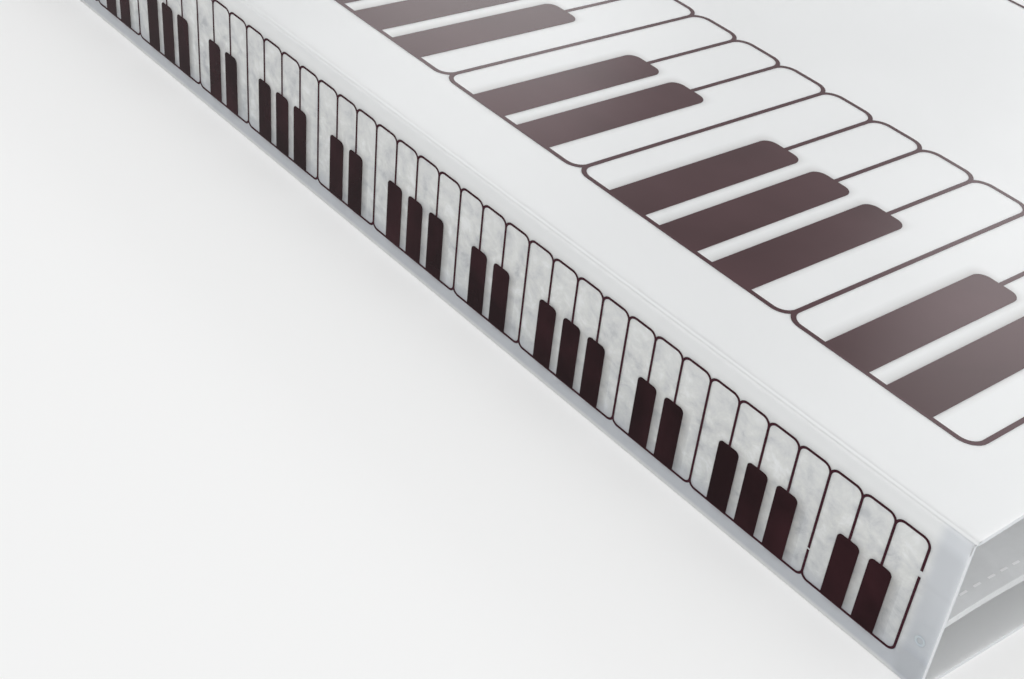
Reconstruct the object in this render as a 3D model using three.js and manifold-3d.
// A4 music folder: a polypropylene display book lying on its back cover, its front cover
// standing a little open, with a piano keyboard printed on the spine and on the front cover.
// Millimetres. +X runs along the spine, +Y from the spine to the fore-edge, +Z up.
// The origin is the middle of the bounding box's underside.

import * as THREE from 'three';
import { mergeVertices } from 'three/addons/utils/BufferGeometryUtils.js';
import Module from 'manifold-3d';

const wasm = await Module();
wasm.setup();

// The sheet that the covers and the spine are creased from
const folderLength = 310;
const coverWidth = 240;
const spineHeight = 34.3;
const sheetThickness = 1.0;
const foreCornerRadius = 6;
const creaseClearance = 0.3;
const creaseTaperLength = 1.6;
const creaseEdgeThickness = 0.5;

// How the folder lies: the spine leans out and the front cover rises to its fore-edge
const spineLean = THREE.MathUtils.degToRad(11.5);
const coverRise = THREE.MathUtils.degToRad(5.7);

// Printed films
const inkThickness = 0.1;
const seatGap = 0.05;

// Keyboard on the spine, from its base line up to the fronts of its white keys
const spineKeyboard = {
  keys: 45,
  pitch: 6.61,
  baseOffset: 4.4,
  keyLength: 25.3,
  blackLength: 14.4,
  blackWidth: 4.6,
  lineWidth: 0.6,
  frontRadius: 1.6,
  baseRadius: 1.4,
  tipRadius: 1.0,
  arcSteps: 3,
};

// Keyboard on the front cover, from its base line out to the fronts of its white keys
const coverKeyboard = {
  keys: 21,
  pitch: 13.43,
  baseOffset: 19.5,
  keyLength: 76.7,
  blackLength: 46.3,
  blackWidth: 9.6,
  lineWidth: 1.2,
  frontRadius: 3.6,
  baseRadius: 3.3,
  tipRadius: 2.5,
  arcSteps: 4,
};

// Ruled line on the front cover, nearer its fore-edge
const ruleOffset = 185.6;
const ruleWidth = 1.2;

// Strip inside the spine that the pockets are welded to
const stripHeight = 14.7;
const stripThickness = 0.6;
const stripMidHeight = 14.4;
const stripEndInset = 3;

// Pockets: clear film leaves joined in one welded root
const leafCount = 10;
const leafThickness = 0.12;
const leafRootPitch = 0.18;
const leafForePitch = 0.5;
const leafRootHeight = 16.0;
const leafLift = THREE.MathUtils.degToRad(4.9);
const leafLiftReach = 48;
const leafDropReach = 52;
const leafLanding = 132;
const leafFloorGap = 0.25;
const leafForeInset = 7;
const leafStagger = 0.15;
const leafSteps = 14;
const rootDepth = 1.4;
const rootMargin = 0.5;
const pocketBaseInset = 0.5;
const pocketMouthInset = 5;

// Values worked out from the sizes above
const halfSheet = sheetThickness / 2;
const creaseSpan = spineHeight - sheetThickness;
const panelSetBack = halfSheet + creaseClearance;
const panelReach = coverWidth - halfSheet;
const keysPerOctave = 7;
const blackDividers = [0, 1, 3, 4, 5];

// Height of the whole folder's deepest point in Y: the back cover's fore-edge and the top crease
const topCreaseY = -creaseSpan * Math.sin(spineLean);
const topCreaseZ = halfSheet + creaseSpan * Math.cos(spineLean);
const frontmostY = topCreaseY - halfSheet;
const creaseY = -(panelReach + frontmostY) / 2;

function solidFrom(geometry) {
  const bare = geometry.clone();
  bare.deleteAttribute('normal');
  bare.deleteAttribute('uv');
  const merged = mergeVertices(bare, 1e-5);
  const mesh = new wasm.Mesh({
    numProp: 3,
    vertProperties: new Float32Array(merged.attributes.position.array),
    triVerts: new Uint32Array(merged.index.array),
  });
  return new wasm.Manifold(mesh);
}

function geometryFrom(solid) {
  const mesh = solid.getMesh();
  const geometry = new THREE.BufferGeometry();
  geometry.setAttribute('position', new THREE.BufferAttribute(new Float32Array(mesh.vertProperties), 3));
  geometry.setIndex(new THREE.BufferAttribute(new Uint32Array(mesh.triVerts), 1));
  geometry.computeVertexNormals();
  return geometry;
}

// A section drawn in (y, z) and drawn out along X between two places
function alongX(section, xStart, xEnd) {
  const geometry = new THREE.ExtrudeGeometry(section, { depth: xEnd - xStart, bevelEnabled: false });
  geometry.rotateX(Math.PI / 2);
  geometry.rotateZ(Math.PI / 2);
  geometry.translate(xStart, 0, 0);
  return geometry;
}

function polyline(points) {
  return new THREE.Shape(points.map(([x, y]) => new THREE.Vector2(x, y)));
}

function arcPoints(centreX, centreY, radius, startAngle, endAngle, steps) {
  return Array.from({ length: steps + 1 }, (_, step) => {
    const angle = startAngle + ((endAngle - startAngle) * step) / steps;
    return [centreX + radius * Math.cos(angle), centreY + radius * Math.sin(angle)];
  });
}

// A cover: a flat sheet, thinned towards its crease, with its two fore-edge corners rounded
function coverGeometry() {
  const thin = creaseEdgeThickness / 2;
  const section = polyline([
    [panelSetBack, -thin],
    [panelSetBack + creaseTaperLength, -halfSheet],
    [panelReach, -halfSheet],
    [panelReach, halfSheet],
    [panelSetBack + creaseTaperLength, halfSheet],
    [panelSetBack, thin],
  ]);
  const sheet = alongX(section, -folderLength / 2, folderLength / 2);

  const side = folderLength / 2;
  const corner = foreCornerRadius;
  const plan = new THREE.Shape();
  plan.moveTo(-side, 0);
  plan.lineTo(side, 0);
  plan.lineTo(side, panelReach - corner);
  plan.absarc(side - corner, panelReach - corner, corner, 0, Math.PI / 2, false);
  plan.lineTo(-side + corner, panelReach);
  plan.absarc(-side + corner, panelReach - corner, corner, Math.PI / 2, Math.PI, false);
  const cutter = new THREE.ExtrudeGeometry(plan, {
    depth: sheetThickness * 2,
    bevelEnabled: false,
    curveSegments: 8,
  });
  cutter.translate(0, 0, -sheetThickness);
  return geometryFrom(solidFrom(sheet).intersect(solidFrom(cutter)));
}

// The spine: a sheet with a round bead along each crease, centred on the crease's axis
function spineGeometry() {
  const steps = 8;
  const section = polyline([
    ...arcPoints(0, 0, halfSheet, Math.PI, 2 * Math.PI, steps),
    ...arcPoints(0, creaseSpan, halfSheet, 0, Math.PI, steps),
  ]);
  return alongX(section, -folderLength / 2, folderLength / 2);
}

function hasBlackKey(divider, keys) {
  return divider > 0 && divider < keys && blackDividers.includes((divider - 1) % keysPerOctave);
}

function isGroupEdge(divider, keys) {
  return divider === 0 || divider === keys || !hasBlackKey(divider, keys);
}

// The clear window of one white key, counted from the +X end, as a closed list of points.
// The keyboard is drawn with its base line's middle on y = 0 and its key fronts towards +y.
function keyWindow(board, key) {
  const { pitch, keys, keyLength, blackLength, blackWidth, lineWidth, arcSteps } = board;
  const line = lineWidth / 2;
  const rightEdge = (keys / 2 - key) * pitch;
  const middle = rightEdge - pitch / 2;
  const front = keyLength - line;
  const frontRadius = board.frontRadius - line;
  const baseRadius = board.baseRadius - line;

  // One side of the window, from its base up to its front, drawn out to +x from its middle
  function side(divider) {
    const edge = pitch / 2 - line;
    const points = [];
    if (hasBlackKey(divider, keys)) {
      const blackEdge = pitch / 2 - blackWidth / 2;
      const tip = board.tipRadius;
      points.push([blackEdge, line]);
      points.push(...arcPoints(blackEdge + tip, blackLength - tip, tip, Math.PI, Math.PI / 2, arcSteps));
      points.push([edge, blackLength]);
    } else {
      points.push(...arcPoints(edge - baseRadius, line + baseRadius, baseRadius, -Math.PI / 2, 0, arcSteps));
    }
    points.push(...arcPoints(edge - frontRadius, front - frontRadius, frontRadius, 0, Math.PI / 2, arcSteps));
    return points;
  }

  const right = side(key).map(([x, y]) => [middle + x, y]);
  const left = side(key + 1).map(([x, y]) => [middle - x, y]);
  return [...right, ...left.reverse()];
}

// The keyboard's outer outline: round key fronts on one side, and on the base line a round
// corner at each end of a group of keys
function keyboardOutline(board) {
  const { pitch, keys, keyLength, lineWidth, arcSteps } = board;
  const line = lineWidth / 2;
  const frontRadius = board.frontRadius + line;
  const baseRadius = board.baseRadius + line;
  const front = keyLength + line;
  const points = [];

  // How far an arc's meeting point with its neighbour lies round from the divider
  const frontCusp = Math.acos((frontRadius - line) / frontRadius);
  const baseCusp = Math.acos((baseRadius - line) / baseRadius);
  const edgeAt = (divider) => (keys / 2 - divider) * pitch;

  for (let divider = keys; divider > 0; divider -= 1) {
    if (!isGroupEdge(divider, keys)) continue;
    let next = divider - 1;
    while (!isGroupEdge(next, keys)) next -= 1;
    const left = edgeAt(divider) - line;
    const right = edgeAt(next) + line;
    const leftStart = divider === keys ? 0 : baseCusp;
    const rightEnd = next === 0 ? 0 : baseCusp;
    const centreY = baseRadius - line;
    points.push(...arcPoints(left + baseRadius, centreY, baseRadius, Math.PI + leftStart, 1.5 * Math.PI, arcSteps));
    const rightArc = arcPoints(right - baseRadius, centreY, baseRadius, -Math.PI / 2, -rightEnd, arcSteps);
    points.push(...(next === 0 ? rightArc : rightArc.slice(0, -1)));
  }
  for (let key = 0; key < keys; key += 1) {
    const right = edgeAt(key) + line;
    const left = edgeAt(key + 1) - line;
    const rightStart = key === 0 ? 0 : frontCusp;
    const leftEnd = key === keys - 1 ? 0 : frontCusp;
    const centreY = front - frontRadius;
    points.push(...arcPoints(right - frontRadius, centreY, frontRadius, rightStart, Math.PI / 2, arcSteps));
    const leftArc = arcPoints(left + frontRadius, centreY, frontRadius, Math.PI / 2, Math.PI - leftEnd, arcSteps);
    points.push(...(key === keys - 1 ? leftArc : leftArc.slice(0, -1)));
  }
  return points;
}

// The printed keyboard as one film: its outline with a clear window cut for every white key
function keyboardGeometry(board) {
  const outline = new THREE.ExtrudeGeometry(polyline(keyboardOutline(board)), {
    depth: inkThickness,
    bevelEnabled: false,
  });
  let film = solidFrom(outline);
  for (let key = 0; key < board.keys; key += 1) {
    const cutter = new THREE.ExtrudeGeometry(polyline(keyWindow(board, key)), {
      depth: 3 * inkThickness,
      bevelEnabled: false,
    });
    cutter.translate(0, 0, -inkThickness);
    film = film.subtract(solidFrom(cutter));
  }
  return geometryFrom(film);
}

function ruleGeometry() {
  const length = coverKeyboard.keys * coverKeyboard.pitch + ruleWidth;
  const rule = polyline([
    [-length / 2, -ruleWidth / 2],
    [length / 2, -ruleWidth / 2],
    [length / 2, ruleWidth / 2],
    [-length / 2, ruleWidth / 2],
  ]);
  return new THREE.ExtrudeGeometry(rule, { depth: inkThickness, bevelEnabled: false });
}

// The weld strip, its long edges eased, in the spine's own frame
function stripGeometry() {
  const near = halfSheet + seatGap;
  const far = near + stripThickness;
  const low = stripMidHeight - halfSheet - stripHeight / 2;
  const high = low + stripHeight;
  const ease = stripThickness / 2;
  const section = polyline([
    [near, low],
    [far - ease, low],
    [far, low + ease],
    [far, high - ease],
    [far - ease, high],
    [near, high],
  ]);
  return alongX(section, -folderLength / 2 + stripEndInset, folderLength / 2 - stripEndInset);
}

// A point of the spine's own frame, seen from the bottom crease: depth inwards, height up it
function fromSpine(depth, height) {
  return new THREE.Vector2(
    depth * Math.cos(spineLean) - height * Math.sin(spineLean),
    depth * Math.sin(spineLean) + height * Math.cos(spineLean),
  );
}

const rootNear = halfSheet + seatGap + stripThickness + seatGap;
const topLeafHeight = leafRootHeight - halfSheet;

// The middle line of one pocket leaf: out from the root with a slight rise, then down to lie
// on the leaves below it
function leafCurve(leaf) {
  const below = leafCount - 1 - leaf;
  const start = fromSpine(rootNear + rootDepth, topLeafHeight - leafThickness / 2 - below * leafRootPitch);
  const restHeight = halfSheet + leafFloorGap + leafThickness / 2 + leaf * leafForePitch;
  const landing = new THREE.Vector2(leafLanding, restHeight);
  const lifted = new THREE.Vector2(
    start.x + leafLiftReach * Math.cos(leafLift),
    start.y + leafLiftReach * Math.sin(leafLift),
  );
  const dropped = new THREE.Vector2(landing.x - leafDropReach, landing.y);
  return new THREE.CubicBezierCurve(start, lifted, dropped, landing);
}

function leafSides(leaf) {
  const curve = leafCurve(leaf);
  const half = leafThickness / 2;
  const under = [];
  const over = [];
  for (let step = 0; step <= leafSteps; step += 1) {
    const place = curve.getPoint(step / leafSteps);
    const tangent = curve.getTangent(step / leafSteps);
    under.push([place.x + half * tangent.y, place.y - half * tangent.x]);
    over.push([place.x - half * tangent.y, place.y + half * tangent.x]);
  }
  const foreEdge = panelReach - leafForeInset - leaf * leafStagger;
  const restHeight = under[leafSteps][1];
  under.push([foreEdge, restHeight]);
  over.push([foreEdge, restHeight + leafThickness]);
  return { under, over };
}

// The pockets' section: a welded root against the strip and the leaves that leave it
function pocketsGeometry() {
  const rootLow = topLeafHeight - leafThickness - (leafCount - 1) * leafRootPitch - rootMargin;
  const rootHigh = topLeafHeight + rootMargin;
  const points = [];
  points.push(fromSpine(rootNear, rootHigh).toArray());
  points.push(fromSpine(rootNear, rootLow).toArray());
  points.push(fromSpine(rootNear + rootDepth - rootMargin, rootLow).toArray());
  for (let leaf = 0; leaf < leafCount; leaf += 1) {
    const { under, over } = leafSides(leaf);
    points.push(...under, ...over.reverse());
  }
  points.push(fromSpine(rootNear + rootDepth - rootMargin, rootHigh).toArray());
  return alongX(polyline(points), -folderLength / 2 + pocketMouthInset, folderLength / 2 - pocketBaseInset);
}

const sheetMaterial = new THREE.MeshStandardMaterial({
  color: 0xe4e6e6,
  roughness: 0.35,
  metalness: 0,
  transparent: true,
  opacity: 0.8,
});
const inkMaterial = new THREE.MeshStandardMaterial({ color: 0x3f2329, roughness: 0.4, metalness: 0 });
const filmMaterial = new THREE.MeshStandardMaterial({
  color: 0xdfe2e3,
  roughness: 0.15,
  metalness: 0,
  transparent: true,
  opacity: 0.45,
});
const stripMaterial = new THREE.MeshStandardMaterial({ color: 0xd8dad9, roughness: 0.3, metalness: 0 });

function piece(name, geometry, material) {
  const mesh = new THREE.Mesh(geometry, material);
  mesh.name = name;
  return mesh;
}

const folder = new THREE.Group();
folder.position.set(0, creaseY, 0);

// Back cover, flat on the ground
const backCover = piece('back_cover', coverGeometry(), sheetMaterial);
backCover.position.z = halfSheet;
folder.add(backCover);

// Spine, leaning out from the bottom crease
const spine = new THREE.Group();
spine.position.z = halfSheet;
spine.rotation.x = spineLean;
folder.add(spine);
spine.add(piece('spine_panel', spineGeometry(), sheetMaterial));
spine.add(piece('pocket_strip', stripGeometry(), stripMaterial));

const spinePrint = piece('spine_print', keyboardGeometry(spineKeyboard), inkMaterial);
spinePrint.rotation.x = Math.PI / 2;
spinePrint.position.set(0, -halfSheet - seatGap, spineKeyboard.baseOffset - halfSheet);
spine.add(spinePrint);

// Pockets, drawn in the ground's frame because they come down to lie on the back cover
const pockets = piece('pockets', pocketsGeometry(), filmMaterial);
pockets.position.z = halfSheet;
folder.add(pockets);

// Front cover, rising from the top crease
const frontCoverGroup = new THREE.Group();
frontCoverGroup.position.set(0, topCreaseY, topCreaseZ);
frontCoverGroup.rotation.x = coverRise;
folder.add(frontCoverGroup);
frontCoverGroup.add(piece('front_cover', coverGeometry(), sheetMaterial));

const coverPrint = piece('front_cover_print', keyboardGeometry(coverKeyboard), inkMaterial);
coverPrint.position.set(0, coverKeyboard.baseOffset - halfSheet, halfSheet + seatGap);
frontCoverGroup.add(coverPrint);

const coverRule = piece('front_cover_rule', ruleGeometry(), inkMaterial);
coverRule.position.set(0, ruleOffset - halfSheet, halfSheet + seatGap);
frontCoverGroup.add(coverRule);

export default folder;
